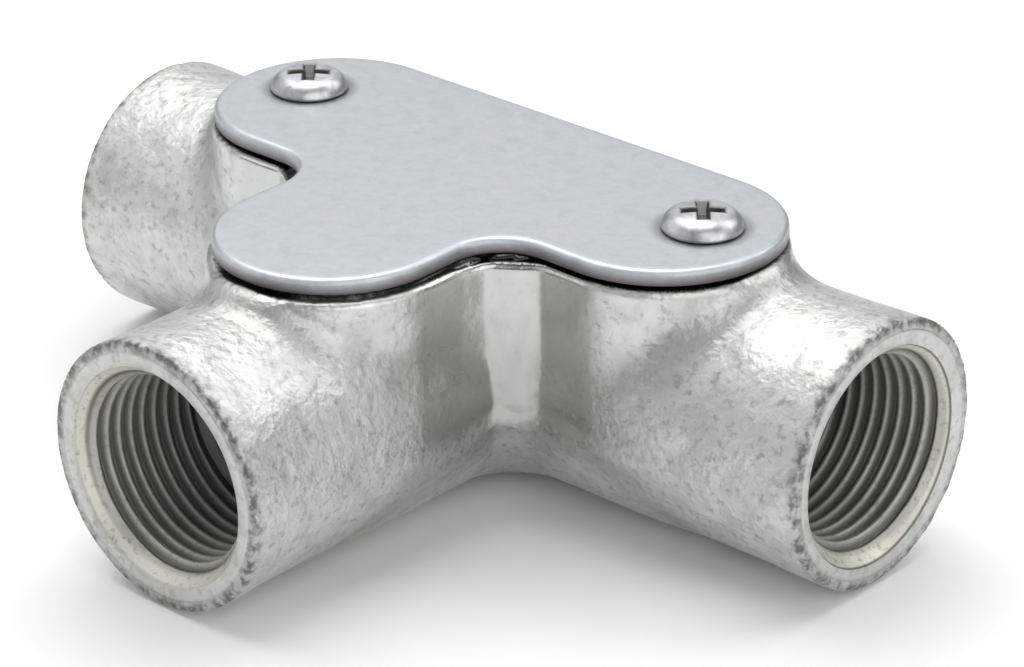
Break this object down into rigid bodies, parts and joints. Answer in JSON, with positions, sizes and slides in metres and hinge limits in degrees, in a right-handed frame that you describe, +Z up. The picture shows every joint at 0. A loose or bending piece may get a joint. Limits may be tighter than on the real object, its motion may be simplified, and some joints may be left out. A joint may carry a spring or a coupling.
{
  "type": "conduit inspection tee",
  "caption": "Cast inspection tee for screwed steel conduit: three threaded spouts, a low chamber open at the top, and a flat steel cover held by pan-head screws.",
  "frame": {"origin": "on the surface that the part rests on, under the middle of its box", "axes": "+X along the run, +Y away from the branch, +Z up towards the cover"},
  "size_m": [0.0944, 0.0606, 0.0321],
  "materials": {
    "galvanised_casting": "hot-dip galvanised casting, orange-peel surface with pale and grey-green mottling",
    "zinc_sheet": "flat steel plate, zinc coated, faintly mottled bluish grey",
    "zinc_screw": "bright zinc plate"
  },
  "bodies": {
    "casting": {"tee_body": "galvanised_casting"},
    "cover": {"cover": "zinc_sheet"},
    "right_screw": {"right_screw": "zinc_screw"},
    "left_screw": {"left_screw": "zinc_screw"}
  },
  "joints": [
    {"name": "cover_lift", "type": "slide", "parent": "casting", "child": "cover", "axis": [0, 0, 1], "range_m": [0, 0.0045]},
    {"name": "right_screw_turn", "type": "hinge", "parent": "cover", "child": "right_screw", "pos_m": [0.0257, 0.01645, 0.0302], "axis": [0, 0, 1], "range_deg": [0, 2315]},
    {"name": "left_screw_turn", "type": "hinge", "parent": "cover", "child": "left_screw", "pos_m": [-0.0257, 0.01645, 0.0302], "axis": [0, 0, 1], "range_deg": [0, 2315]}
  ],
  "couplings": [
    {"joint": "right_screw_turn", "follows": "cover_lift", "rad_per_m": 8976},
    {"joint": "left_screw_turn", "follows": "cover_lift", "rad_per_m": 8976}
  ]
}
